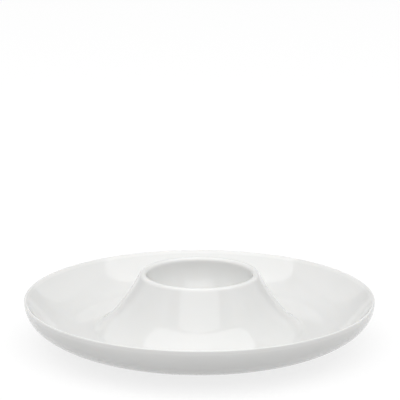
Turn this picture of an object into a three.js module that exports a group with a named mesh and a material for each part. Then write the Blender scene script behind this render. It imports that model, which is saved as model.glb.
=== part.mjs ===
// An egg plate in white glazed porcelain: a shallow round dish with an egg cup rising from its
// middle. Sizes are in millimetres, Z is up, and the foot ring stands on z = 0.
//
// Porcelain holds no screws or hinges. The plate is put together from four formed members, each
// standing on a flat seat of the one below. They are stuck with slip, glazed and fired as one:
// the foot ring carries the dish, the dish carries the cup stand, and the stand carries the cup.

import * as THREE from 'three';

// Dish
const PLATE_RADIUS = 70; // outer edge of the rim
const RIM_THICKNESS = 1.1; // the wall thins to this at the rim, whose edge is rounded
const WALL_ANGLE = 54; // steepness of the wall's inside under the rim, in degrees
const WALL_RIM_SHARE = 0.59; // pull of the wall's upper tangent, of the distance between its ends
const WALL_FLOOR_SHARE = 0.29; // pull of the wall's lower tangent, of the same distance
const FLOOR_THICKNESS = 4.05; // of the well's floor, over the foot ring
const BELLY_DEPTH = 17; // how far the outside falls below the top of the rim
const BELLY_FULLNESS = 2.14; // exponent of the outside curve: 2 is an ellipse
const FLOOR_RADIUS = 48.4; // outer edge of the well's flat floor

// Foot ring
const FOOT_RADIUS = 39.2; // outer edge of the ring
const FOOT_WIDTH = 3.6;
const FOOT_HEIGHT = 2.3;
const FOOT_EDGE = 0.6; // rounding of the ring's two lower edges

// Cup stand
const STAND_THICKNESS = 3.5;
const SKIRT_REACH = 4.2; // how far the stand's skirt reaches past the foot ring
const LEDGE_THICKNESS = 2.3; // of the dish's ledge under the skirt
const FLARE_ANGLE = 62.5; // steepness of the flare under the lip, in degrees
const FLARE_FOOT_ANGLE = 30; // and at its foot, where the fillet takes over
const FLARE_TOP_SHARE = 0.51; // pull of the flare's upper tangent, of the distance between its ends
const FLARE_FOOT_SHARE = 0.166; // pull of the flare's lower tangent, of the same distance
const FLARE_FILLET = 3.5; // radius of the fillet between the flare and the well's floor
const FLARE_REACH = 42.9; // where that fillet runs out on the floor

// Egg cup
const THROAT_RADIUS = 21.15; // inside of the lip, where the egg sits
const LIP_RISE = 10.36; // top of the lip above the top of the rim
const LIP_ROLL = 1.47; // radius of the rolled lip
const CUP_DEPTH = 20.6; // from the top of the lip to the bottom of the bowl
const CUP_THICKNESS = 3.4;
const CUP_BAND = 8.9; // height of the cup's outside, from its seat to the top of the lip
const SOCKET_DEPTH = 1.5; // of the stand's collar round the bowl
const SOCKET_CLEARANCE = 0.3;

// Steps of the faceted surfaces
const STEPS_ROUND = 72;
const STEPS_BELLY = 11;
const STEPS_WALL = 12;
const STEPS_FLARE = 16;
const STEPS_ROLL = 6;
const STEPS_BOWL = 9;
const STEPS_EDGE = 3;

const porcelain = new THREE.MeshStandardMaterial({ color: 0xf1f1ee, roughness: 0.08, metalness: 0 });
const bareClay = new THREE.MeshStandardMaterial({ color: 0xe6e2d8, roughness: 0.75, metalness: 0 });

const point = (radius, height) => new THREE.Vector2(radius, height);
const mix = THREE.MathUtils.lerp;

// Points along an arc about a centre, from one angle to another in radians.
function arc(centre, radius, from, to, steps) {
  return Array.from({ length: steps + 1 }, (_, i) => {
    const angle = mix(from, to, i / steps);
    return point(centre.x + radius * Math.cos(angle), centre.y + radius * Math.sin(angle));
  });
}

// The point where a curve reaches a value of x or y. An end stretch runs on past its end.
function reach(curve, axis, value) {
  const rising = curve.at(-1)[axis] > curve[0][axis];
  const past = curve.findIndex((p, i) => i > 0 && (rising ? p[axis] >= value : p[axis] <= value));
  const i = past < 0 ? curve.length - 1 : past;
  const [a, b] = [curve[i - 1], curve[i]];
  return a.clone().lerp(b, (value - a[axis]) / (b[axis] - a[axis]));
}

// The stretch of a curve between two values of x or y, with its ends.
function stretch(curve, axis, from, to) {
  const between = curve.filter((p) => (p[axis] - from) * (p[axis] - to) < 0);
  return [reach(curve, axis, from), ...between, reach(curve, axis, to)];
}

// A smooth curve from one point to another, along the run that it has at each end.
function sweep(start, startRun, startShare, end, endRun, endShare, steps) {
  const length = start.distanceTo(end);
  return new THREE.CubicBezierCurve(
    start,
    start.clone().addScaledVector(startRun, startShare * length),
    end.clone().addScaledVector(endRun, -endShare * length),
    end,
  ).getPoints(steps);
}

// A curve moved sideways, to the right of its run.
function offset(curve, distance) {
  return curve.map((p, i) => {
    const ahead = curve[Math.min(i + 1, curve.length - 1)];
    const behind = curve[Math.max(i - 1, 0)];
    const run = ahead.clone().sub(behind).normalize();
    return point(p.x + run.y * distance, p.y - run.x * distance);
  });
}

// A piece turned about Z. Its outline runs anticlockwise, with Z up and the radius to the right,
// and the piece is placed by the height of the seat that it stands on.
function turned(name, outline, seat, material) {
  const onSeat = outline.map((p) => point(p.x, p.y - seat));
  const geometry = new THREE.LatheGeometry(onSeat, STEPS_ROUND).rotateX(Math.PI / 2);
  const mesh = new THREE.Mesh(geometry, material);
  mesh.name = name;
  mesh.position.z = seat;
  return mesh;
}

// Heights that follow from the sizes
const rimRoll = RIM_THICKNESS / 2;
const footInside = FOOT_RADIUS - FOOT_WIDTH;
const bellySpan = PLATE_RADIUS - footInside;
const bellyDrop = BELLY_DEPTH - rimRoll;
const turnAt = (radius) => Math.acos(((radius - footInside) / bellySpan) ** (BELLY_FULLNESS / 2));
const dropAt = (turn) => bellyDrop * Math.sin(turn) ** (2 / BELLY_FULLNESS);
const footTurn = turnAt(FOOT_RADIUS);
const footSeat = FOOT_HEIGHT;
const ledge = footSeat + LEDGE_THICKNESS;
const floor = footSeat + FLOOR_THICKNESS;
const rimCentre = point(PLATE_RADIUS - rimRoll, footSeat + dropAt(footTurn));
const lipTop = rimCentre.y + rimRoll + LIP_RISE;
const cupSeat = lipTop - CUP_BAND;

// The dish's outside, from the rim in to the foot, whose inner edge is where the curve would turn
// level.
function bellyPoint(turn) {
  const radius = footInside + bellySpan * Math.cos(turn) ** (2 / BELLY_FULLNESS);
  return point(radius, rimCentre.y - dropAt(turn));
}
const outside = Array.from({ length: STEPS_BELLY + 1 }, (_, i) => bellyPoint((footTurn * i) / STEPS_BELLY));

// The rim's rounded edge, and the dish's inside: a flat floor, and the wall that climbs from it to
// the rim.
const wallRise = THREE.MathUtils.degToRad(WALL_ANGLE);
const rim = arc(rimCentre, rimRoll, 0, Math.PI / 2 + wallRise, STEPS_ROLL);
const wall = sweep(
  point(FLOOR_RADIUS, floor),
  point(1, 0),
  WALL_FLOOR_SHARE,
  rim.at(-1),
  point(Math.cos(wallRise), Math.sin(wallRise)),
  WALL_RIM_SHARE,
  STEPS_WALL,
);

// The lip, the flare that falls from it, and the fillet that runs out on the floor of the well.
const falling = (angle) => point(Math.cos(angle), -Math.sin(angle));
const lipCentre = point(THROAT_RADIUS + LIP_ROLL, lipTop - LIP_ROLL);
const flareFall = THREE.MathUtils.degToRad(FLARE_ANGLE);
const footFall = THREE.MathUtils.degToRad(FLARE_FOOT_ANGLE);
const lip = arc(lipCentre, LIP_ROLL, Math.PI / 2 - flareFall, Math.PI, STEPS_ROLL);
const filletCentre = point(FLARE_REACH, floor + FLARE_FILLET);
const fillet = arc(filletCentre, FLARE_FILLET, -Math.PI / 2 - footFall, -Math.PI / 2, STEPS_EDGE);
const flareTop = lip[0];
const flare = sweep(
  flareTop,
  falling(flareFall),
  FLARE_TOP_SHARE,
  fillet[0],
  falling(footFall),
  FLARE_FOOT_SHARE,
  STEPS_FLARE,
);
const topSkin = [...flare, ...fillet.slice(1), ...wall];

// The bowl inside the cup: half an ellipse, and the same offset by the cup's thickness.
const bowlDrop = CUP_DEPTH - LIP_ROLL;
const bowlInside = arc(point(0, 0), 1, Math.PI, Math.PI * 1.5, STEPS_BOWL)
  .map((p) => point(-p.x * THROAT_RADIUS, lipCentre.y + p.y * bowlDrop));
const bowlOutside = arc(point(0, 0), 1, Math.PI * 1.5, Math.PI * 2, STEPS_BOWL)
  .map((p) => point(p.x * (THROAT_RADIUS + CUP_THICKNESS), lipCentre.y + p.y * (bowlDrop + CUP_THICKNESS)));

// Foot ring
const footRing = turned('foot_ring', [
  ...arc(point(footInside + FOOT_EDGE, FOOT_EDGE), FOOT_EDGE, Math.PI, Math.PI * 1.5, STEPS_EDGE),
  ...arc(point(FOOT_RADIUS - FOOT_EDGE, FOOT_EDGE), FOOT_EDGE, -Math.PI / 2, 0, STEPS_EDGE),
  point(FOOT_RADIUS, footSeat),
  point(footInside, footSeat),
  point(footInside, FOOT_EDGE),
], 0, bareClay);

// Dish: a ring with a belly, a rolled rim, and a ledge round its open middle.
const skirtEdge = FOOT_RADIUS + SKIRT_REACH;
const dish = turned('dish', [
  point(footInside, footSeat),
  ...outside.toReversed(),
  ...rim.slice(1, -1),
  ...stretch(topSkin, 'x', skirtEdge, topSkin.at(-1).x).reverse(),
  point(skirtEdge, ledge),
  point(footInside, ledge),
  point(footInside, footSeat),
], footSeat, porcelain);

// Cup stand: a flared ring, hollow underneath. Its skirt stands on the dish's ledge, and its
// collar holds the bowl.
const socketRadius = reach(bowlOutside, 'y', cupSeat).x + SOCKET_CLEARANCE;
const standTop = reach(flare, 'y', cupSeat);
const hollow = stretch(offset(topSkin, STAND_THICKNESS), 'x', socketRadius, footInside)
  .filter((p) => p.y < cupSeat - SOCKET_DEPTH);
const cupStand = turned('cup_stand', [
  point(footInside, ledge),
  point(skirtEdge, ledge),
  ...stretch(topSkin, 'x', standTop.x, skirtEdge).reverse(),
  point(socketRadius, cupSeat),
  point(socketRadius, cupSeat - SOCKET_DEPTH),
  ...hollow,
  point(footInside, ledge),
], ledge, porcelain);

// Egg cup: the bowl, with the rolled lip and the band of its outside that shows above the seat.
const eggCup = turned('egg_cup', [
  ...stretch(bowlOutside, 'y', bowlOutside[0].y, cupSeat),
  ...stretch(flare, 'y', flareTop.y, cupSeat).reverse(),
  ...lip.slice(1),
  ...bowlInside.slice(1),
], cupSeat, porcelain);

const eggPlate = new THREE.Group();
eggPlate.name = 'egg_plate';
eggPlate.add(footRing, dish, cupStand, eggCup);

export default eggPlate;
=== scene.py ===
# A white porcelain egg plate: a shallow dish with an egg cup rising from its middle. Its members
# are stuck with slip and fired as one under one glaze, and it stands on a bare foot ring.

import bpy
import math
from mathutils import Euler, Matrix, Vector


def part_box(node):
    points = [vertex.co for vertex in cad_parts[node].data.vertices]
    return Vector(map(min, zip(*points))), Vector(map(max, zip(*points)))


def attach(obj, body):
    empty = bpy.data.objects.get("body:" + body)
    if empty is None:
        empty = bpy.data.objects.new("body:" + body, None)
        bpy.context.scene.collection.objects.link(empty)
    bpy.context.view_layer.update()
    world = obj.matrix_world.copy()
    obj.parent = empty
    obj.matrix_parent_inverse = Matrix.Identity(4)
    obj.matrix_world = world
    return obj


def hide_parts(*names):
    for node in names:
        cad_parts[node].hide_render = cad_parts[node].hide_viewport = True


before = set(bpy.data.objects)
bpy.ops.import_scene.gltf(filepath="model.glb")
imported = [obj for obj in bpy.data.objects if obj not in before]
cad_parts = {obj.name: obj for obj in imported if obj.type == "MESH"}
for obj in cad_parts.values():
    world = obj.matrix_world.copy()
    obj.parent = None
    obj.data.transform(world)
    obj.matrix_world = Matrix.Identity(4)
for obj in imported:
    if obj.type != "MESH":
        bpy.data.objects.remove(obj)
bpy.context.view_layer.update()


# Foot ring
# The low ring that the plate stands on, of the same clay as the rest. It is wiped free of glaze
# before the firing, so it stays bare, dry and fine-grained, with edges softened by the sponge.

FOOT_WIDTH = 0.0036
FOOT_EDGE = 0.0006
FOOT_EDGE_STEPS = 8
STEPS_ROUND = 256
WHEEL_RADIUS = 0.02
POLE_GAP = 0.000002
WARP_SIZE = 0.032
WARP_DEPTH = 0.00006
WARP_SEED = 3.7

foot_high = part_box("foot_ring")[1]
foot_radius = foot_high.x
foot_inner = foot_radius - FOOT_WIDTH


def arc(centre, radius, start, end, steps):
    """Points (radius, height) along an arc; the angles are in degrees."""
    angles = [math.radians(start + (end - start) * i / steps) for i in range(steps + 1)]
    return [Vector((centre[0] + radius * math.cos(a), centre[1] + radius * math.sin(a))) for a in angles]


def joined(tree, pairs):
    for source, target in pairs:
        tree.links.new(source, target)


def math_node(tree, operation, *values):
    """A math node; each value is a number or a socket."""
    node = tree.nodes.new("ShaderNodeMath")
    node.operation = operation
    for value, socket in zip(values, node.inputs):
        if isinstance(value, bpy.types.NodeSocket):
            tree.links.new(value, socket)
        else:
            socket.default_value = value
    return node.outputs["Value"]


def wheel_tree():
    """A potter's wheel: turns an outline about Z, lets the kiln warp it, closes its poles and
    gives it a finish. The outline's point radius says how deep the glaze lies there."""
    tree = bpy.data.node_groups.new("potters_wheel", "GeometryNodeTree")
    for name, kind in (("Outline", "Geometry"), ("Wheel radius", "Float"), ("Steps round", "Int"),
                       ("Warp size", "Float"), ("Warp depth", "Float"), ("Warp seed", "Float"),
                       ("Still height", "Float"), ("Pole gap", "Float"), ("Finish", "Material")):
        tree.interface.new_socket(name, in_out="INPUT", socket_type="NodeSocket" + kind)
    tree.interface.new_socket("Piece", in_out="OUTPUT", socket_type="NodeSocketGeometry")
    inputs = tree.nodes.new("NodeGroupInput").outputs
    depth = tree.nodes.new("GeometryNodeInputRadius")
    mark = tree.nodes.new("GeometryNodeStoreNamedAttribute")
    mark.data_type = "FLOAT"
    mark.domain = "POINT"
    mark.inputs["Name"].default_value = "glaze_depth"
    wheel = tree.nodes.new("GeometryNodeCurvePrimitiveCircle")
    level = tree.nodes.new("GeometryNodeSetCurveNormal")
    level.mode = "Z_UP"
    turn = tree.nodes.new("GeometryNodeCurveToMesh")
    face_out = tree.nodes.new("GeometryNodeFlipFaces")
    place = tree.nodes.new("GeometryNodeInputPosition")
    split = tree.nodes.new("ShaderNodeSeparateXYZ")
    wander = tree.nodes.new("ShaderNodeTexNoise")
    wander.noise_dimensions = "4D"
    wander.inputs["Detail"].default_value = 0
    centred = tree.nodes.new("ShaderNodeVectorMath")
    centred.operation = "SUBTRACT"
    centred.inputs[1].default_value = (0.5, 0.5, 0.5)
    scaled = tree.nodes.new("ShaderNodeVectorMath")
    scaled.operation = "SCALE"
    warp = tree.nodes.new("GeometryNodeSetPosition")
    close = tree.nodes.new("GeometryNodeMergeByDistance")
    smooth = tree.nodes.new("GeometryNodeSetShadeSmooth")
    realize = tree.nodes.new("GeometryNodeRealizeInstances")
    finish = tree.nodes.new("GeometryNodeSetMaterial")
    outputs = tree.nodes.new("NodeGroupOutput")
    above = math_node(tree, "SUBTRACT", split.outputs["Z"], inputs["Still height"])
    share = math_node(tree, "DIVIDE", above, inputs["Still height"])
    share.node.use_clamp = True
    joined(tree, (
        (inputs["Outline"], mark.inputs["Geometry"]),
        (depth.outputs["Radius"], mark.inputs["Value"]),
        (inputs["Wheel radius"], wheel.inputs["Radius"]),
        (inputs["Steps round"], wheel.inputs["Resolution"]),
        (wheel.outputs["Curve"], level.inputs["Curve"]),
        (level.outputs["Curve"], turn.inputs["Curve"]),
        (mark.outputs["Geometry"], turn.inputs["Profile Curve"]),
        (turn.outputs["Mesh"], face_out.inputs["Mesh"]),
        (place.outputs["Position"], split.inputs["Vector"]),
        (place.outputs["Position"], wander.inputs["Vector"]),
        (inputs["Warp seed"], wander.inputs["W"]),
        (math_node(tree, "DIVIDE", 1.0, inputs["Warp size"]), wander.inputs["Scale"]),
        (wander.outputs["Color"], centred.inputs[0]),
        (centred.outputs["Vector"], scaled.inputs[0]),
        (math_node(tree, "MULTIPLY", inputs["Warp depth"], share), scaled.inputs["Scale"]),
        (face_out.outputs["Mesh"], warp.inputs["Geometry"]),
        (scaled.outputs["Vector"], warp.inputs["Offset"]),
        (warp.outputs["Geometry"], close.inputs["Geometry"]),
        (inputs["Pole gap"], close.inputs["Distance"]),
        (close.outputs["Geometry"], smooth.inputs["Geometry"]),
        (smooth.outputs["Geometry"], realize.inputs["Geometry"]),
        (realize.outputs["Geometry"], finish.inputs["Geometry"]),
        (inputs["Finish"], finish.inputs["Material"]),
        (finish.outputs["Geometry"], outputs.inputs["Piece"]),
    ))
    return tree


potters_wheel = wheel_tree()


def turned(name, outline, glaze_depths, finish):
    """An outline of (radius, height) points turned into a smooth mesh. It runs anticlockwise,
    and either starts and ends on the axis or closes on itself."""
    curve = bpy.data.curves.new(name + "_outline", "CURVE")
    curve.dimensions = "3D"
    line = curve.splines.new("POLY")
    line.points.add(len(outline) - 1)
    for spot, (radius, height), depth in zip(line.points, outline, glaze_depths):
        spot.co = (radius - WHEEL_RADIUS, -height, 0, 1)
        spot.radius = depth
    line.use_cyclic_u = outline[0][0] > 0
    blank = bpy.data.objects.new(name + "_blank", curve)
    bpy.context.scene.collection.objects.link(blank)
    wheel = blank.modifiers.new("wheel", "NODES")
    wheel.node_group = potters_wheel
    settings = {"Wheel radius": WHEEL_RADIUS, "Steps round": STEPS_ROUND, "Warp size": WARP_SIZE,
                "Warp depth": WARP_DEPTH, "Warp seed": WARP_SEED, "Still height": foot_high.z,
                "Pole gap": POLE_GAP, "Finish": finish}
    for socket in potters_wheel.interface.items_tree:
        if socket.name in settings:
            wheel[socket.identifier] = settings[socket.name]
    bpy.context.view_layer.update()
    graph = bpy.context.evaluated_depsgraph_get()
    mesh = bpy.data.meshes.new_from_object(blank.evaluated_get(graph), depsgraph=graph)
    bpy.data.objects.remove(blank)
    piece = bpy.data.objects.new(name, mesh)
    bpy.context.scene.collection.objects.link(piece)
    return piece


def shader_group(name, inputs, outputs):
    tree = bpy.data.node_groups.new(name, "ShaderNodeTree")
    for socket, kind in inputs:
        tree.interface.new_socket(socket, in_out="INPUT", socket_type="NodeSocket" + kind)
    for socket, kind in outputs:
        tree.interface.new_socket(socket, in_out="OUTPUT", socket_type="NodeSocket" + kind)
    return tree, tree.nodes.new("NodeGroupInput").outputs, tree.nodes.new("NodeGroupOutput").inputs


def noise(tree, place, size, detail):
    """Noise with lumps of about a size, from 0 to 1."""
    node = tree.nodes.new("ShaderNodeTexNoise")
    node.inputs["Detail"].default_value = detail
    joined(tree, ((place, node.inputs["Vector"]),
                  (math_node(tree, "DIVIDE", 1.0, size), node.inputs["Scale"])))
    return node.outputs["Fac"]


MIX_COLOURS = (6, 7)
MIX_RESULT = 2


def blended(tree, share, first, second):
    """One colour over another; each is a colour or a socket."""
    node = tree.nodes.new("ShaderNodeMix")
    node.data_type = "RGBA"
    tree.links.new(share, node.inputs["Factor"])
    for value, index in zip((first, second), MIX_COLOURS):
        if isinstance(value, bpy.types.NodeSocket):
            tree.links.new(value, node.inputs[index])
        else:
            node.inputs[index].default_value = value
    return node.outputs[MIX_RESULT]


def ranged(tree, value, low, high):
    """How far a value has come from one limit to another, from 0 to 1."""
    node = tree.nodes.new("ShaderNodeMapRange")
    node.interpolation_type = "SMOOTHSTEP"
    for number, socket in ((value, "Value"), (low, "From Min"), (high, "From Max")):
        if isinstance(number, bpy.types.NodeSocket):
            tree.links.new(number, node.inputs[socket])
        else:
            node.inputs[socket].default_value = number
    return node.outputs["Result"]


CLOUD_EDGES = (0.38, 0.66)
SPECK_EDGES = (0.70, 0.76)


def kiln_tint_group():
    """Fired colour: soft clouds from the clay and the kiln's draught, and small dark specks."""
    tree, inputs, outputs = shader_group(
        "kiln_tint",
        (("Place", "Vector"), ("Colour", "Color"), ("Cloud colour", "Color"), ("Cloud size", "Float"),
         ("Speck colour", "Color"), ("Speck size", "Float"), ("Speck share", "Float")),
        (("Colour", "Color"),),
    )
    clouds = ranged(tree, noise(tree, inputs["Place"], inputs["Cloud size"], 2), *CLOUD_EDGES)
    clouded = blended(tree, clouds, inputs["Colour"], inputs["Cloud colour"])
    specks = ranged(tree, noise(tree, inputs["Place"], inputs["Speck size"], 1), *SPECK_EDGES)
    share = math_node(tree, "MULTIPLY", specks, inputs["Speck share"])
    joined(tree, ((blended(tree, share, clouded, inputs["Speck colour"]), outputs["Colour"]),))
    return tree


def fine_relief_group():
    """The height in metres of a surface's slow waves and of its grain."""
    tree, inputs, outputs = shader_group(
        "fine_relief",
        (("Place", "Vector"), ("Wave size", "Float"), ("Wave height", "Float"),
         ("Grain size", "Float"), ("Grain height", "Float")),
        (("Height", "Float"),),
    )
    waves = math_node(tree, "MULTIPLY", noise(tree, inputs["Place"], inputs["Wave size"], 1),
                      inputs["Wave height"])
    grain = math_node(tree, "MULTIPLY", noise(tree, inputs["Place"], inputs["Grain size"], 2),
                      inputs["Grain height"])
    joined(tree, ((math_node(tree, "ADD", waves, grain), outputs["Height"]),))
    return tree


kiln_tint = kiln_tint_group()
fine_relief = fine_relief_group()


def placed_group(tree, group, place, values):
    """A shared group in a material, reading the piece's own coordinates."""
    node = tree.nodes.new("ShaderNodeGroup")
    node.node_tree = group
    tree.links.new(place, node.inputs["Place"])
    for name, value in values.items():
        node.inputs[name].default_value = value
    return node


def relief_normal(tree, place, values):
    relief = placed_group(tree, fine_relief, place, values)
    bump = tree.nodes.new("ShaderNodeBump")
    bump.inputs["Strength"].default_value = 1
    bump.inputs["Distance"].default_value = 1
    tree.links.new(relief.outputs["Height"], bump.inputs["Height"])
    return bump.outputs["Normal"]


RUBBED_HEIGHT = 0.00035
CLAY_COLOUR = (0.80, 0.77, 0.71, 1)
CLAY_CLOUD_COLOUR = (0.76, 0.725, 0.655, 1)
CLAY_SPECK_COLOUR = (0.55, 0.49, 0.41, 1)
RUBBED_COLOUR = (0.58, 0.56, 0.53, 1)
RUBBED_PATCH = 0.004
RUBBED_EDGES = (0.42, 0.62)
RUBBED_SHARE = 0.55
RUBBED_POLISH = -0.2
CLAY_ROUGHNESS = 0.78


def bare_clay():
    """Fired clay without glaze: matt and sandy, and grey where it has rubbed on tables."""
    material = bpy.data.materials.new("bare_porcelain")
    material.use_nodes = True
    tree = material.node_tree
    clay = tree.nodes["Principled BSDF"]
    place = tree.nodes.new("ShaderNodeTexCoord").outputs["Object"]
    tint = placed_group(tree, kiln_tint, place, {
        "Colour": CLAY_COLOUR, "Cloud colour": CLAY_CLOUD_COLOUR, "Cloud size": 0.007,
        "Speck colour": CLAY_SPECK_COLOUR, "Speck size": 0.0005, "Speck share": 0.6})
    split = tree.nodes.new("ShaderNodeSeparateXYZ")
    tree.links.new(place, split.inputs["Vector"])
    low = math_node(tree, "SUBTRACT", 1.0, ranged(tree, split.outputs["Z"], 0.0, RUBBED_HEIGHT))
    patches = ranged(tree, noise(tree, place, RUBBED_PATCH, 3), *RUBBED_EDGES)
    rubbed = math_node(tree, "MULTIPLY", low, patches)
    greyed = math_node(tree, "MULTIPLY", rubbed, RUBBED_SHARE)
    colour = blended(tree, greyed, tint.outputs["Colour"], RUBBED_COLOUR)
    roughness = math_node(tree, "MULTIPLY_ADD", rubbed, RUBBED_POLISH, CLAY_ROUGHNESS)
    normal = relief_normal(tree, place, {"Wave size": 0.004, "Wave height": 0.00004,
                                         "Grain size": 0.00035, "Grain height": 0.00005})
    joined(tree, ((colour, clay.inputs["Base Color"]), (roughness, clay.inputs["Roughness"]),
                  (normal, clay.inputs["Normal"])))
    return material


foot_outline = (
    arc((foot_inner + FOOT_EDGE, FOOT_EDGE), FOOT_EDGE, 180, 270, FOOT_EDGE_STEPS)
    + arc((foot_radius - FOOT_EDGE, FOOT_EDGE), FOOT_EDGE, 270, 360, FOOT_EDGE_STEPS)
    + [Vector((foot_radius, foot_high.z)), Vector((foot_inner, foot_high.z))]
)
foot = turned("bare_foot_ring", foot_outline, [0] * len(foot_outline), bare_clay())
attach(foot, "root")
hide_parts("foot_ring")


# Dish
# A round dish with a full belly, a flat floor, and a wall that sweeps up and thins to a narrow,
# rounded rim. It is cast in one, and its floor is thick enough to carry the cup.

RIM_THICKNESS = 0.0011
WALL_ANGLE = 54
WALL_RIM_SHARE = 0.59
WALL_FLOOR_SHARE = 0.29
FLOOR_THICKNESS = 0.00405
BELLY_DEPTH = 0.017
BELLY_FULLNESS = 2.14
FLOOR_RADIUS = 0.0484
BELLY_STEPS = 56
RIM_STEPS = 20
WALL_STEPS = 56
FLOOR_STEPS = 4

dish_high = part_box("dish")[1]
plate_radius = dish_high.x
rim_roll = RIM_THICKNESS / 2
rim_centre = (plate_radius - rim_roll, dish_high.z - rim_roll)
belly_span = plate_radius - foot_inner
belly_drop = BELLY_DEPTH - rim_roll


def turn_at(radius):
    """How far the belly has turned, as an angle, where it reaches a radius."""
    return math.acos(((radius - foot_inner) / belly_span) ** (BELLY_FULLNESS / 2))


def belly_point(turn):
    radius = foot_inner + belly_span * math.cos(turn) ** (2 / BELLY_FULLNESS)
    return Vector((radius, rim_centre[1] - belly_drop * math.sin(turn) ** (2 / BELLY_FULLNESS)))


def sweep(start, start_run, start_share, end, end_run, end_share, steps):
    """A smooth curve from one point to another, along the run that it has at each end."""
    length = (end - start).length
    pulls = start, start + start_share * length * start_run, end - end_share * length * end_run, end
    curve = []
    for i in range(steps + 1):
        t = i / steps
        weights = (1 - t) ** 3, 3 * t * (1 - t) ** 2, 3 * t * t * (1 - t), t ** 3
        curve.append(sum((w * p for w, p in zip(weights, pulls)), Vector((0, 0))))
    return curve


foot_turn = turn_at(foot_radius)
floor = foot_high.z + FLOOR_THICKNESS
belly = [belly_point(foot_turn * (1 - i / BELLY_STEPS)) for i in range(BELLY_STEPS + 1)]
rim = arc(rim_centre, rim_roll, 0, 90 + WALL_ANGLE, RIM_STEPS)
wall_fall = Vector((-math.cos(math.radians(WALL_ANGLE)), -math.sin(math.radians(WALL_ANGLE))))
wall = sweep(rim[-1], wall_fall, WALL_RIM_SHARE,
             Vector((FLOOR_RADIUS, floor)), Vector((-1, 0)), WALL_FLOOR_SHARE, WALL_STEPS)


# Cup stand
# A hollow cone that flares out into the dish's floor and carries the cup. It is open underneath,
# with a wall as thick all over as the cup's, so that it dries and fires evenly.

STAND_THICKNESS = 0.0035
FLARE_ANGLE = 62.5
FLARE_FOOT_ANGLE = 30
FLARE_TOP_SHARE = 0.51
FLARE_FOOT_SHARE = 0.166
FLARE_FILLET = 0.0035
FLARE_REACH = 0.0429
FLARE_STEPS = 66
FILLET_STEPS = 14
THROAT_RADIUS = 0.02115
LIP_ROLL = 0.00147

cup_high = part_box("egg_cup")[1]
lip_centre = Vector((THROAT_RADIUS + LIP_ROLL, cup_high.z - LIP_ROLL))


def climbing(angle):
    """The run of a slope that climbs inwards at an angle."""
    return Vector((-math.cos(math.radians(angle)), math.sin(math.radians(angle))))


inner_floor = [Vector((FLOOR_RADIUS + (FLARE_REACH - FLOOR_RADIUS) * i / FLOOR_STEPS, floor))
               for i in range(FLOOR_STEPS)]
fillet = arc((FLARE_REACH, floor + FLARE_FILLET), FLARE_FILLET, 270, 270 - FLARE_FOOT_ANGLE, FILLET_STEPS)
lip_start = 90 - FLARE_ANGLE
flare_top = arc(lip_centre, LIP_ROLL, lip_start, lip_start, 1)[0]
flare = sweep(fillet[-1], climbing(FLARE_FOOT_ANGLE), FLARE_FOOT_SHARE,
              flare_top, climbing(FLARE_ANGLE), FLARE_TOP_SHARE, FLARE_STEPS)


# Egg cup
# The bowl that the egg sits in, blunt end down on the rolled lip. It is formed on its own and
# stuck with slip into the stand's collar, and glaze fills the groove where the two meet below.

CUP_DEPTH = 0.0206
CUP_THICKNESS = 0.0034
LIP_STEPS = 20
BOWL_STEPS = 40

lip = arc(lip_centre, LIP_ROLL, lip_start, 180, LIP_STEPS)
bowl_drop = CUP_DEPTH - LIP_ROLL
bowl = [Vector((lip_centre.x - LIP_ROLL, lip_centre.y)) for i in range(BOWL_STEPS + 1)]
for i, spot in enumerate(bowl):
    angle = math.radians(90 * i / BOWL_STEPS)
    spot.x *= math.cos(angle)
    spot.y -= bowl_drop * math.sin(angle)
bowl[-1].x = 0


# One glaze over all
# The dish, the stand and the cup are dipped together, so one clear, glossy skin runs over every
# seam and ends in a small bead on the foot, where the sponge wiped it off.

GLAZE_LINE = 0.0009
GLAZE_THICKNESS = 0.00018
FOOT_FILLET = 0.0011
HOLLOW_FILLET = 0.0018
GROOVE_HEIGHT = 0.0196
ROUND_SHARE = 0.55
ROUND_STEPS = 10
BEAD_STEPS = 4
RUN_LENGTH = 0.002
RUN_ANGLE = 110


def moved_in(line, thickness):
    """A line of points moved to the left of its run by a thickness."""
    moved = []
    for i, spot in enumerate(line):
        run = (line[min(i + 1, len(line) - 1)] - line[max(i - 1, 0)]).normalized()
        moved.append(spot + thickness * Vector((-run.y, run.x)))
    return moved


def rounded(line, after):
    """The two lines with a rounded corner between them."""
    leaving = (line[-1] - line[-2]).normalized()
    arriving = (after[1] - after[0]).normalized()
    corner = sweep(line[-1], leaving, ROUND_SHARE, after[0], arriving, ROUND_SHARE, ROUND_STEPS)
    return line + corner[1:] + after[1:]


def glaze_depths(outline):
    """How deep the melted glaze lies along an outline: 0 on a sharp bulge, 1 in a tight hollow."""
    depths = []
    for i, spot in enumerate(outline):
        back = next((p for p in reversed(outline[:i]) if (p - spot).length > RUN_LENGTH), outline[0])
        on = next((p for p in outline[i + 1:] if (p - spot).length > RUN_LENGTH), outline[-1])
        turning = 0.0
        if back is not spot and on is not spot:
            turning = math.degrees((on - spot).angle_signed(spot - back))
        depths.append(min(max(0.5 - turning / RUN_ANGLE, 0), 1))
    return depths


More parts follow.
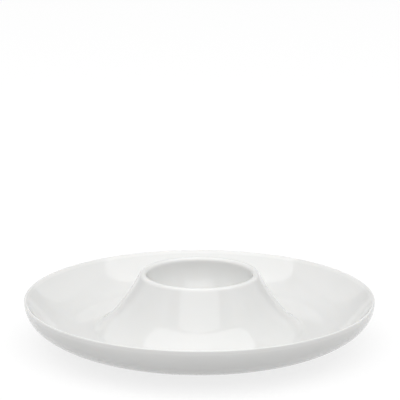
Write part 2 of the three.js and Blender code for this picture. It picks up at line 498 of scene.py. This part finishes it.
under_bowl = moved_in(bowl, CUP_THICKNESS)[::-2]
under_bowl[0].x = 0
under_bowl = [p for p in under_bowl if p.y < GROOVE_HEIGHT]
under_stand = moved_in(fillet + flare[1:], STAND_THICKNESS)[::-2]
under_stand = [p for p in under_stand if p.y < GROOVE_HEIGHT and p.x < foot_inner - HOLLOW_FILLET]
glaze_inner = foot_inner - GLAZE_THICKNESS
glaze_outer = foot_radius + GLAZE_THICKNESS
bead_height = GLAZE_LINE + GLAZE_THICKNESS
inner_side = [Vector((glaze_inner, foot_high.z)), Vector((glaze_inner, bead_height))]
inner_bead = arc((foot_inner, bead_height), GLAZE_THICKNESS, 180, 270, BEAD_STEPS)
outer_bead = arc((foot_radius, bead_height), GLAZE_THICKNESS, 270, 360, BEAD_STEPS)
outer_side = [Vector((glaze_outer, foot_high.z - FOOT_FILLET))]
outer_belly = [p for p in belly if p.x > foot_radius + FOOT_FILLET]
top_skin = rim[1:] + wall[1:] + inner_floor[1:] + fillet + flare[1:] + lip[1:] + bowl[1:]

outline = rounded(rounded(under_bowl, under_stand), inner_side)
outline = rounded(outline + inner_bead[1:] + outer_bead + outer_side, outer_belly) + top_skin

GLAZE_COLOUR = (0.704, 0.705, 0.696, 1)
GLAZE_CLOUD_COLOUR = (0.696, 0.698, 0.688, 1)
GLAZE_SPECK_COLOUR = (0.64, 0.63, 0.605, 1)
GLAZE_THIN_COLOUR = (0.735, 0.735, 0.726, 1)
GLAZE_POOL_COLOUR = (0.675, 0.685, 0.668, 1)
GLAZE_INDEX = 1.6
GLAZE_SCATTER = 0.12
GLAZE_SCATTER_SHARES = (1.0, 0.85, 0.7)
GLAZE_SCATTER_DEPTH = 0.0012
THIN_EDGES = (0.05, 0.4)
POOL_EDGES = (0.6, 1.0)
GLOSS_PATCH = 0.012
GLOSS_CHANGE = 0.012
GLAZE_ROUGHNESS = 0.03
THIN_ROUGHENING = 0.02


def clear_glaze():
    """White porcelain under a clear, glossy glaze: a touch paler where it ran thin over the rim
    and the lip, and a touch greener and deeper where it pooled."""
    material = bpy.data.materials.new("glazed_porcelain")
    material.use_nodes = True
    tree = material.node_tree
    glaze = tree.nodes["Principled BSDF"]
    glaze.inputs["IOR"].default_value = GLAZE_INDEX
    glaze.inputs["Subsurface Weight"].default_value = GLAZE_SCATTER
    glaze.inputs["Subsurface Radius"].default_value = GLAZE_SCATTER_SHARES
    glaze.inputs["Subsurface Scale"].default_value = GLAZE_SCATTER_DEPTH
    place = tree.nodes.new("ShaderNodeTexCoord").outputs["Object"]
    tint = placed_group(tree, kiln_tint, place, {
        "Colour": GLAZE_COLOUR, "Cloud colour": GLAZE_CLOUD_COLOUR, "Cloud size": 0.03,
        "Speck colour": GLAZE_SPECK_COLOUR, "Speck size": 0.0006, "Speck share": 0.12})
    depth = tree.nodes.new("ShaderNodeAttribute")
    depth.attribute_name = "glaze_depth"
    thin = math_node(tree, "SUBTRACT", 1.0, ranged(tree, depth.outputs["Fac"], *THIN_EDGES))
    pooled = ranged(tree, depth.outputs["Fac"], *POOL_EDGES)
    paled = blended(tree, thin, tint.outputs["Colour"], GLAZE_THIN_COLOUR)
    colour = blended(tree, pooled, paled, GLAZE_POOL_COLOUR)
    gloss = noise(tree, place, GLOSS_PATCH, 2)
    uneven = math_node(tree, "MULTIPLY_ADD", gloss, GLOSS_CHANGE, GLAZE_ROUGHNESS)
    roughness = math_node(tree, "MULTIPLY_ADD", thin, THIN_ROUGHENING, uneven)
    normal = relief_normal(tree, place, {"Wave size": 0.011, "Wave height": 0.000008,
                                         "Grain size": 0.0022, "Grain height": 0.000001})
    joined(tree, ((colour, glaze.inputs["Base Color"]), (roughness, glaze.inputs["Roughness"]),
                  (normal, glaze.inputs["Normal"])))
    return material


body = turned("glazed_body", outline, glaze_depths(outline), clear_glaze())
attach(body, "root")
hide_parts("dish", "cup_stand", "egg_cup")


# Camera
# It stands a metre off, a little above the plate, and looks slightly over it.

CAMERA_DISTANCE = 1.05
CAMERA_ELEVATION = 16.74
CAMERA_ROLL = 0.1
SENSOR = 36
PICTURE_SIDE = 400
FOCAL_PIXELS = 2625
PLATE_PIXEL = (199.6, 297.1)

aim = Vector((0, 0, dish_high.z))
rise = math.radians(CAMERA_ELEVATION)
tilt = math.atan((PLATE_PIXEL[1] - PICTURE_SIDE / 2) / FOCAL_PIXELS)
pan = math.atan((PICTURE_SIDE / 2 - PLATE_PIXEL[0]) / FOCAL_PIXELS)
camera_data = bpy.data.cameras.new("camera")
camera_data.sensor_width = SENSOR
camera_data.lens = FOCAL_PIXELS / PICTURE_SIDE * SENSOR
camera = bpy.data.objects.new("camera", camera_data)
camera.location = aim + CAMERA_DISTANCE * Vector((0, -math.cos(rise), math.sin(rise)))
facing = Euler((math.pi / 2 - rise + tilt, 0, -pan)).to_matrix()
roll = Matrix.Rotation(math.radians(CAMERA_ROLL), 3, "Z")
camera.rotation_euler = (facing @ roll).to_euler()
bpy.context.scene.collection.objects.link(camera)
bpy.context.scene.camera = camera


# Table and light
# A plain pale table in a room that is brighter in front and above. A round soft box hangs over the
# plate, a square one stands high in front of it, and a weaker one at each side.

TABLE_REACH = 3.0
TABLE_COLOUR = (0.62, 0.62, 0.62, 1)
TABLE_SEEN_COLOUR = (0.95, 0.95, 0.95, 1)
TABLE_GLOW_SHARE = 0.8
ROOM_BASE = 0.1
ROOM_ABOVE = 0.58
ROOM_SIDES = 0.16
ROOM_FRONT = 0.28
ROOM_WINDOW = 0.6
ROOM_BEHIND = 0.56


def pale_table():
    """A matt table with the plate's shadow on it: near white to the eye and in the glaze, and
    dimmer in the light that it throws back."""
    material = bpy.data.materials.new("table")
    material.use_nodes = True
    tree = material.node_tree
    tree.nodes.remove(tree.nodes["Principled BSDF"])
    matt = tree.nodes.new("ShaderNodeBsdfDiffuse")
    matt.inputs["Color"].default_value = TABLE_COLOUR
    pale = tree.nodes.new("ShaderNodeBsdfDiffuse")
    pale.inputs["Color"].default_value = TABLE_SEEN_COLOUR
    glow = tree.nodes.new("ShaderNodeEmission")
    shown = tree.nodes.new("ShaderNodeMixShader")
    shown.inputs["Fac"].default_value = TABLE_GLOW_SHARE
    mixed = tree.nodes.new("ShaderNodeMixShader")
    ray = tree.nodes.new("ShaderNodeLightPath").outputs
    seen = math_node(tree, "ADD", ray["Is Camera Ray"], ray["Is Glossy Ray"])
    seen = math_node(tree, "ADD", seen, ray["Is Transmission Ray"])
    seen.node.use_clamp = True
    joined(tree, (
        (pale.outputs["BSDF"], shown.inputs[1]),
        (glow.outputs["Emission"], shown.inputs[2]),
        (seen, mixed.inputs["Fac"]),
        (matt.outputs["BSDF"], mixed.inputs[1]),
        (shown.outputs["Shader"], mixed.inputs[2]),
        (mixed.outputs["Shader"], tree.nodes["Material Output"].inputs["Surface"]),
    ))
    return material


table_mesh = bpy.data.meshes.new("table")
corners = [(-TABLE_REACH, -TABLE_REACH, 0), (TABLE_REACH, -TABLE_REACH, 0),
           (TABLE_REACH, TABLE_REACH, 0), (-TABLE_REACH, TABLE_REACH, 0)]
table_mesh.from_pydata(corners, [], [(0, 1, 2, 3)])
table_mesh.materials.append(pale_table())
table = bpy.data.objects.new("table", table_mesh)
bpy.context.scene.collection.objects.link(table)


def soft_box(name, shape, place, turn, width, length, brightness):
    """A soft box, placed from the middle of the rim. It faces down, and is turned by degrees
    about X and Y. A brightness of 1 is white."""
    data = bpy.data.lights.new(name, "AREA")
    data.shape = shape
    data.size = width
    data.size_y = length
    area = width * length * (math.pi / 4 if shape == "ELLIPSE" else 1)
    data.energy = brightness * math.pi * area
    box = bpy.data.objects.new(name, data)
    box.location = aim + Vector(place)
    box.rotation_euler = (math.radians(turn[0]), math.radians(turn[1]), 0)
    bpy.context.scene.collection.objects.link(box)


soft_box("top_light", "ELLIPSE", place=(0, -0.14, 1.0), turn=(0, 0),
         width=1.95, length=0.92, brightness=1.35)
soft_box("front_light", "RECTANGLE", place=(0, -1.0, 1.19), turn=(90, 0),
         width=1.6, length=0.96, brightness=0.9)
for name, side in (("right_light", 1), ("left_light", -1)):
    soft_box(name, "RECTANGLE", place=(side, 0.5, 0.7), turn=(0, 90 * side),
             width=0.9, length=2.2, brightness=0.38)

room = bpy.data.worlds.new("room")
bpy.context.scene.world = room
room.use_nodes = True
tree = room.node_tree
split = tree.nodes.new("ShaderNodeSeparateXYZ")
tree.links.new(tree.nodes.new("ShaderNodeTexCoord").outputs["Generated"], split.inputs["Vector"])
above = math_node(tree, "MAXIMUM", split.outputs["Z"], 0.0)
front = math_node(tree, "MAXIMUM", math_node(tree, "MULTIPLY", split.outputs["Y"], -1.0), 0.0)
behind = math_node(tree, "MAXIMUM", split.outputs["Y"], 0.0)
sides = math_node(tree, "MULTIPLY", split.outputs["X"], split.outputs["X"])
low = math_node(tree, "POWER", math_node(tree, "SUBTRACT", 1.0, above), 2.0)
strength = math_node(tree, "MULTIPLY_ADD", above, ROOM_ABOVE, ROOM_BASE)
strength = math_node(tree, "MULTIPLY_ADD", sides, ROOM_SIDES, strength)
strength = math_node(tree, "MULTIPLY_ADD", front, ROOM_FRONT, strength)
strength = math_node(tree, "MULTIPLY_ADD", math_node(tree, "MULTIPLY", front, above), ROOM_WINDOW, strength)
strength = math_node(tree, "MULTIPLY_ADD", math_node(tree, "MULTIPLY", behind, low), ROOM_BEHIND, strength)
tree.nodes["Background"].inputs["Color"].default_value = (1, 1, 1, 1)
tree.links.new(strength, tree.nodes["Background"].inputs["Strength"])
bpy.context.scene.view_settings.view_transform = "Standard"
